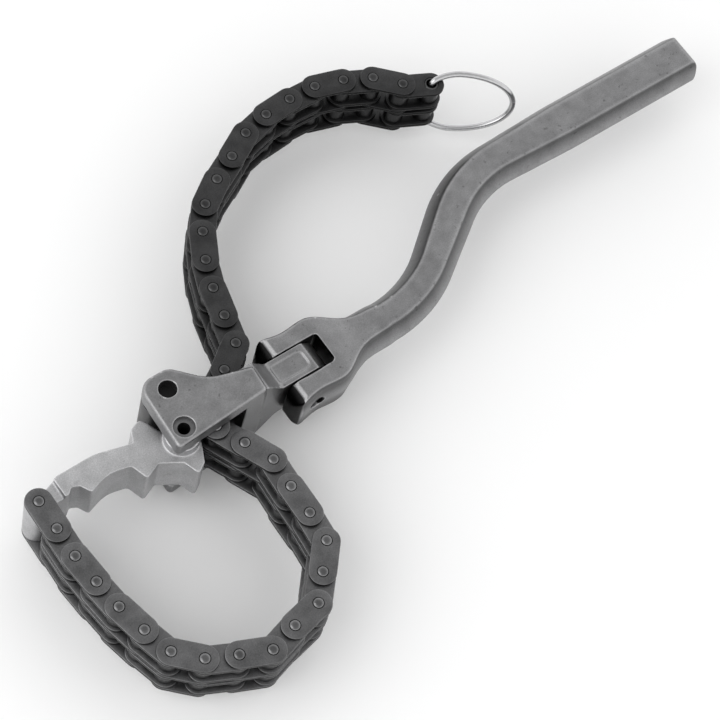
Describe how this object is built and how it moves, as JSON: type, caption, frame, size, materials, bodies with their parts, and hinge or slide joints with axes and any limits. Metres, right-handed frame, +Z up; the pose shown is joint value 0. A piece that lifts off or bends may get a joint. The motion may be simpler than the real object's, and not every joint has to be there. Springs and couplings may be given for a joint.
{
  "type": "oil filter wrench",
  "caption": "Chain oil filter wrench: a duplex roller chain and toothed jaw on a forged head, a cranked swinging handle and a wire pull ring.",
  "frame": {"origin": "under the middle of the tool's bounding box, on the plane its head rests on", "axes": "+X along the grip, away from the head; +Z up, along the chain's pins"},
  "size_m": [0.268, 0.1518, 0.034],
  "materials": {
    "forged_steel": "satin zinc phosphate over a drop forging",
    "jaw_steel": "lighter satin cast surface",
    "pin_steel": "dark hardened pin",
    "dark_steel": "black oxide",
    "chain_steel": "oiled dark steel",
    "tail_steel": "nearly black oiled steel",
    "bright_wire": "bright drawn wire"
  },
  "bodies": {
    "head": {"head_forging": "forged_steel", "jaw_pivot_pin": "pin_steel", "guide_pin": "pin_steel"},
    "handle": {"handle_forging": "forged_steel", "hinge_pin": "pin_steel"},
    "jaw": {"jaw": "jaw_steel"},
    "guide_roller": {"guide_roller": "dark_steel"},
    "pull_ring": {"pull_ring": "bright_wire"},
    "link_01": {"chain_link_01": "chain_steel"},
    "link_02": {"chain_link_02": "chain_steel"},
    "link_03": {"chain_link_03": "chain_steel"},
    "link_04": {"chain_link_04": "chain_steel"},
    "link_05": {"chain_link_05": "chain_steel"},
    "link_06": {"chain_link_06": "chain_steel"},
    "link_07": {"chain_link_07": "chain_steel"},
    "link_08": {"chain_link_08": "chain_steel"},
    "link_09": {"chain_link_09": "chain_steel"},
    "link_10": {"chain_link_10": "chain_steel"},
    "link_11": {"chain_link_11": "chain_steel"},
    "link_12": {"chain_link_12": "chain_steel"},
    "link_13": {"chain_link_13": "chain_steel"},
    "link_14": {"chain_link_14": "chain_steel"},
    "link_15": {"chain_link_15": "chain_steel"},
    "link_16": {"chain_link_16": "chain_steel"},
    "link_17": {"chain_link_17": "chain_steel"},
    "link_18": {"chain_link_18": "chain_steel"},
    "link_19": {"chain_link_19": "chain_steel"},
    "link_20": {"chain_link_20": "tail_steel"},
    "link_21": {"chain_link_21": "tail_steel"},
    "link_22": {"chain_link_22": "tail_steel"},
    "link_23": {"chain_link_23": "tail_steel"},
    "link_24": {"chain_link_24": "tail_steel"},
    "link_25": {"chain_link_25": "tail_steel"},
    "link_26": {"chain_link_26": "tail_steel"},
    "link_27": {"chain_link_27": "tail_steel"},
    "link_28": {"chain_link_28": "tail_steel"},
    "link_29": {"chain_link_29": "tail_steel"},
    "link_30": {"chain_link_30": "tail_steel"},
    "link_31": {"chain_link_31": "tail_steel"},
    "link_32": {"chain_link_32": "tail_steel"},
    "link_33": {"chain_link_33": "tail_steel"},
    "link_34": {"chain_link_34": "tail_steel"},
    "link_35": {"chain_link_35": "tail_steel"},
    "link_36": {"chain_link_36": "tail_steel"}
  },
  "joints": [
    {"name": "handle_hinge", "type": "hinge", "parent": "head", "child": "handle", "pos_m": [-0.04113, -0.00267, 0.017], "axis": [0, -1, 0], "range_deg": [-90, 90]},
    {"name": "jaw_pivot", "type": "hinge", "parent": "head", "child": "jaw", "pos_m": [-0.08423, -0.00507, 0.017], "axis": [0, 0, -1], "range_deg": [0, 7]},
    {"name": "guide_roller_spin", "type": "hinge", "parent": "head", "child": "guide_roller", "pos_m": [-0.08163, 0.00723, 0.017], "axis": [0, 0, 1], "continuous": true},
    {"name": "chain_feed", "type": "slide", "parent": "head", "child": "link_19", "axis": [0.4067, 0.9135, 0], "range_m": [0, 0.004]},
    {"name": "jaw_eye", "type": "hinge", "parent": "jaw", "child": "link_01", "pos_m": [-0.12953, -0.00057, 0.017], "axis": [0, 0, -1], "range_deg": [0, 40]},
    {"name": "chain_pin_01", "type": "hinge", "parent": "link_01", "child": "link_02", "pos_m": [-0.1297, -0.01009, 0.017], "axis": [0, 0, -1], "range_deg": [0, 40]},
    {"name": "chain_pin_02", "type": "hinge", "parent": "link_02", "child": "link_03", "pos_m": [-0.12986, -0.01962, 0.017], "axis": [0, 0, 1], "range_deg": [-40, 0]},
    {"name": "chain_pin_03", "type": "hinge", "parent": "link_03", "child": "link_04", "pos_m": [-0.12903, -0.02911, 0.017], "axis": [0, 0, -1], "range_deg": [0, 40]},
    {"name": "chain_pin_04", "type": "hinge", "parent": "link_04", "child": "link_05", "pos_m": [-0.12787, -0.03856, 0.017], "axis": [0, 0, 1], "range_deg": [-40, 0]},
    {"name": "chain_pin_05", "type": "hinge", "parent": "link_05", "child": "link_06", "pos_m": [-0.12573, -0.04784, 0.017], "axis": [0, 0, -1], "range_deg": [0, 40]},
    {"name": "chain_pin_06", "type": "hinge", "parent": "link_06", "child": "link_07", "pos_m": [-0.1231, -0.057, 0.017], "axis": [0, 0, 1], "range_deg": [-40, 0]},
    {"name": "chain_pin_07", "type": "hinge", "parent": "link_07", "child": "link_08", "pos_m": [-0.11637, -0.06373, 0.017], "axis": [0, 0, -1], "range_deg": [0, 40]},
    {"name": "chain_pin_08", "type": "hinge", "parent": "link_08", "child": "link_09", "pos_m": [-0.10781, -0.06791, 0.017], "axis": [0, 0, 1], "range_deg": [-40, 0]},
    {"name": "chain_pin_09", "type": "hinge", "parent": "link_09", "child": "link_10", "pos_m": [-0.09911, -0.07178, 0.017], "axis": [0, 0, -1], "range_deg": [0, 40]},
    {"name": "chain_pin_10", "type": "hinge", "parent": "link_10", "child": "link_11", "pos_m": [-0.08991, -0.06932, 0.017], "axis": [0, 0, 1], "range_deg": [-40, 0]},
    {"name": "chain_pin_11", "type": "hinge", "parent": "link_11", "child": "link_12", "pos_m": [-0.08056, -0.0675, 0.017], "axis": [0, 0, -1], "range_deg": [0, 40]},
    {"name": "chain_pin_12", "type": "hinge", "parent": "link_12", "child": "link_13", "pos_m": [-0.07406, -0.06053, 0.017], "axis": [0, 0, 1], "range_deg": [-40, 0]},
    {"name": "chain_pin_18", "type": "hinge", "parent": "link_19", "child": "link_18", "pos_m": [-0.07424, -0.00766, 0.017], "axis": [0, 0, 1], "range_deg": [0, 12]},
    {"name": "chain_pin_17", "type": "hinge", "parent": "link_18", "child": "link_17", "pos_m": [-0.07022, -0.0163, 0.017], "axis": [0, 0, -1], "range_deg": [-30, 0]},
    {"name": "chain_pin_16", "type": "hinge", "parent": "link_17", "child": "link_16", "pos_m": [-0.06619, -0.02493, 0.017], "axis": [0, 0, 1], "range_deg": [0, 30]},
    {"name": "chain_pin_15", "type": "hinge", "parent": "link_16", "child": "link_15", "pos_m": [-0.06669, -0.03444, 0.017], "axis": [0, 0, -1], "range_deg": [-30, 0]},
    {"name": "chain_pin_14", "type": "hinge", "parent": "link_15", "child": "link_14", "pos_m": [-0.06686, -0.04397, 0.017], "axis": [0, 0, 1], "range_deg": [0, 30]},
    {"name": "chain_pin_19", "type": "hinge", "parent": "link_19", "child": "link_20", "pos_m": [-0.07037, 0.00104, 0.017], "axis": [0, 0, 1], "range_deg": [0, 20]},
    {"name": "chain_pin_20", "type": "hinge", "parent": "link_20", "child": "link_21", "pos_m": [-0.06212, 0.0058, 0.017], "axis": [0, 0, -1], "range_deg": [-30, 0]},
    {"name": "chain_pin_21", "type": "hinge", "parent": "link_21", "child": "link_22", "pos_m": [-0.05432, 0.01126, 0.017], "axis": [0, 0, 1], "range_deg": [0, 30]},
    {"name": "chain_pin_22", "type": "hinge", "parent": "link_22", "child": "link_23", "pos_m": [-0.05201, 0.0205, 0.017], "axis": [0, 0, -1], "range_deg": [-30, 0]},
    {"name": "chain_pin_23", "type": "hinge", "parent": "link_23", "child": "link_24", "pos_m": [-0.04971, 0.02975, 0.017], "axis": [0, 0, 1], "range_deg": [0, 30]},
    {"name": "chain_pin_24", "type": "hinge", "parent": "link_24", "child": "link_25", "pos_m": [-0.04629, 0.03864, 0.017], "axis": [0, 0, -1], "range_deg": [-30, 0]},
    {"name": "chain_pin_25", "type": "hinge", "parent": "link_25", "child": "link_26", "pos_m": [-0.04168, 0.04697, 0.017], "axis": [0, 0, 1], "range_deg": [-1, 30]},
    {"name": "chain_pin_26", "type": "hinge", "parent": "link_26", "child": "link_27", "pos_m": [-0.03568, 0.05437, 0.017], "axis": [0, 0, -1], "range_deg": [-30, 1]},
    {"name": "chain_pin_27", "type": "hinge", "parent": "link_27", "child": "link_28", "pos_m": [-0.02779, 0.0597, 0.017], "axis": [0, 0, 1], "range_deg": [-1, 30]},
    {"name": "chain_pin_28", "type": "hinge", "parent": "link_28", "child": "link_29", "pos_m": [-0.0193, 0.06402, 0.017], "axis": [0, 0, -1], "range_deg": [-30, 2]},
    {"name": "chain_pin_29", "type": "hinge", "parent": "link_29", "child": "link_30", "pos_m": [-0.01097, 0.06864, 0.017], "axis": [0, 0, 1], "range_deg": [-2, 30]},
    {"name": "chain_pin_30", "type": "hinge", "parent": "link_30", "child": "link_31", "pos_m": [-0.00173, 0.07094, 0.017], "axis": [0, 0, -1], "range_deg": [-30, 2]},
    {"name": "chain_pin_31", "type": "hinge", "parent": "link_31", "child": "link_32", "pos_m": [0.00776, 0.07177, 0.017], "axis": [0, 0, 1], "range_deg": [-2, 30]},
    {"name": "chain_pin_32", "type": "hinge", "parent": "link_32", "child": "link_33", "pos_m": [0.01729, 0.07161, 0.017], "axis": [0, 0, -1], "range_deg": [-30, 2]},
    {"name": "chain_pin_33", "type": "hinge", "parent": "link_33", "child": "link_34", "pos_m": [0.02644, 0.06898, 0.017], "axis": [0, 0, 1], "range_deg": [-3, 30]},
    {"name": "chain_pin_34", "type": "hinge", "parent": "link_34", "child": "link_35", "pos_m": [0.03508, 0.06496, 0.017], "axis": [0, 0, -1], "range_deg": [-30, 3]},
    {"name": "chain_pin_35", "type": "hinge", "parent": "link_35", "child": "link_36", "pos_m": [0.04193, 0.05834, 0.017], "axis": [0, 0, 1], "range_deg": [-3, 30]},
    {"name": "pull_ring_swing", "type": "hinge", "parent": "link_36", "child": "pull_ring", "pos_m": [0.05056, 0.05432, 0.017], "axis": [0, 0, 1], "range_deg": [-8, 60]}
  ]
}
